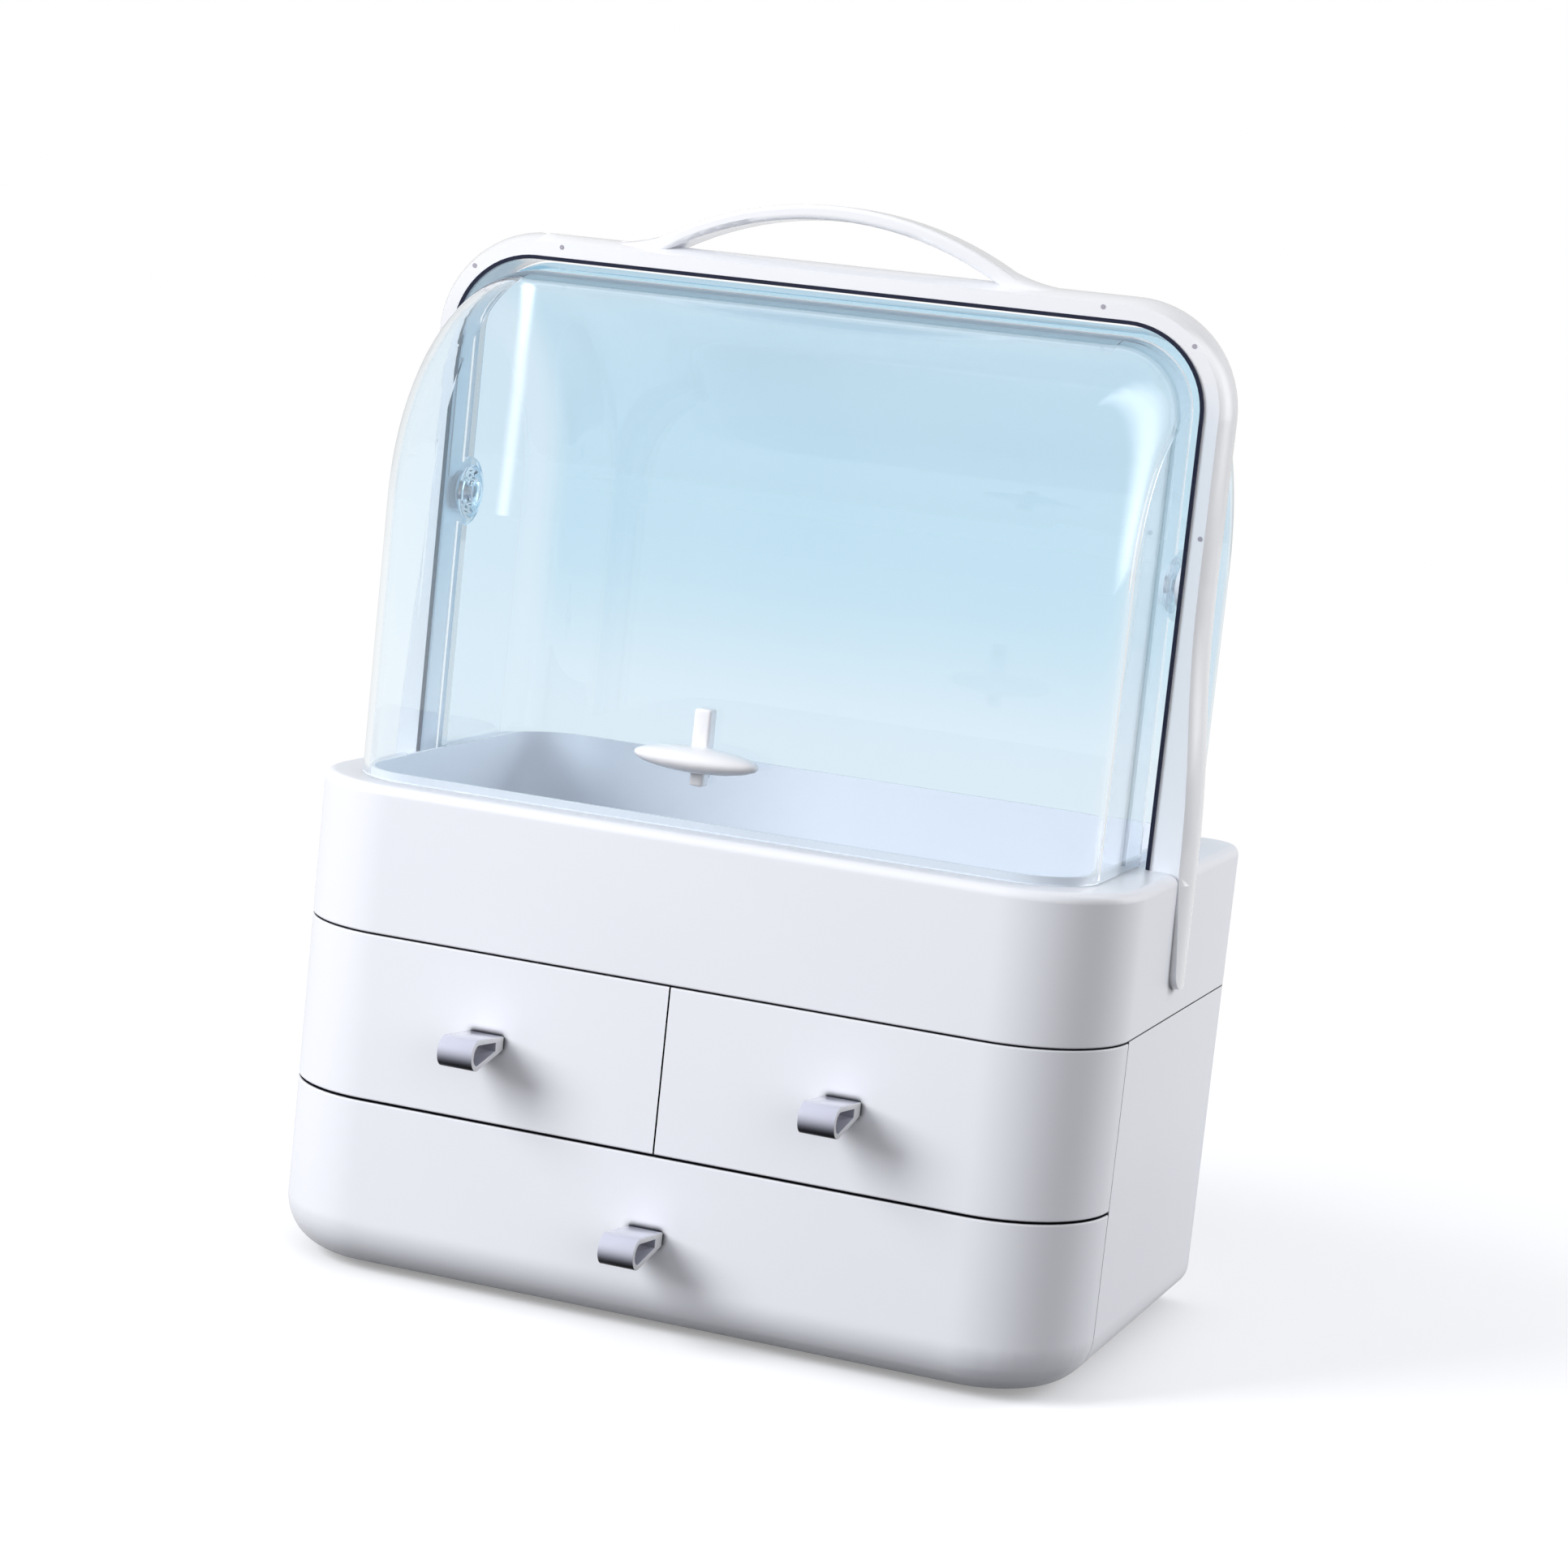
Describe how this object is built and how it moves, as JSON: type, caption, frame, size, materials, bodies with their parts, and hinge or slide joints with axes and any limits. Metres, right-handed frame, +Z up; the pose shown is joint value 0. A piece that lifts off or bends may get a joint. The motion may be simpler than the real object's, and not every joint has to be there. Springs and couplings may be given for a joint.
{
  "type": "cosmetics organizer",
  "caption": "Countertop cosmetics organizer with drawers, an open tray under a clear cover that swings up and a carrying handle on a strap arch.",
  "frame": {"origin": "centre of the bounding box at the undersides of the feet, with everything closed", "axes": "+Z up, -Y towards the drawer pulls (the front), +X to the right seen from the front"},
  "size_m": [0.296, 0.199, 0.3745],
  "materials": {
    "white_case": "satin",
    "white_inner": "matte",
    "drawer_white": "satin",
    "grip_white": "gloss",
    "cap_white": "satin",
    "clear_cover": "gloss",
    "blue_cover": "gloss",
    "pull_lilac": "gloss",
    "arch_pin_lilac": "matte",
    "seal_rubber": "matte",
    "feet_rubber": "matte",
    "screw_steel": "satin"
  },
  "bodies": {
    "case": {"cabinet": "white_case", "mid_shelf": "white_inner", "centre_divider": "white_inner", "top_tray": "white_case", "tray_screws": "screw_steel", "rubber_feet": "feet_rubber", "arch_frame": "white_case", "leg_screws": "screw_steel", "arch_pins": "arch_pin_lilac", "dust_seal": "seal_rubber", "rear_cover": "blue_cover", "pivot_pins": "screw_steel", "pivot_washers": "white_inner", "pivot_caps": "cap_white"},
    "cover": {"front_cover": "clear_cover", "cover_pull": "grip_white", "cover_pull_screws": "screw_steel"},
    "upper_left": {"upper_left_drawer": "drawer_white", "upper_left_pull": "pull_lilac", "upper_left_pull_screw": "screw_steel"},
    "upper_right": {"upper_right_drawer": "drawer_white", "upper_right_pull": "pull_lilac", "upper_right_pull_screw": "screw_steel"},
    "lower": {"lower_drawer": "drawer_white", "lower_pull": "pull_lilac", "lower_pull_screw": "screw_steel"}
  },
  "joints": [
    {"name": "cover_swing", "type": "hinge", "parent": "case", "child": "cover", "pos_m": [0, 0.0145, 0.2624], "axis": [-1, 0, 0], "range_deg": [0, 90]},
    {"name": "upper_left_slide", "type": "slide", "parent": "case", "child": "upper_left", "axis": [0, -1, 0], "range_m": [0, 0.12]},
    {"name": "upper_right_slide", "type": "slide", "parent": "case", "child": "upper_right", "axis": [0, -1, 0], "range_m": [0, 0.12]},
    {"name": "lower_slide", "type": "slide", "parent": "case", "child": "lower", "axis": [0, -1, 0], "range_m": [0, 0.12]}
  ]
}
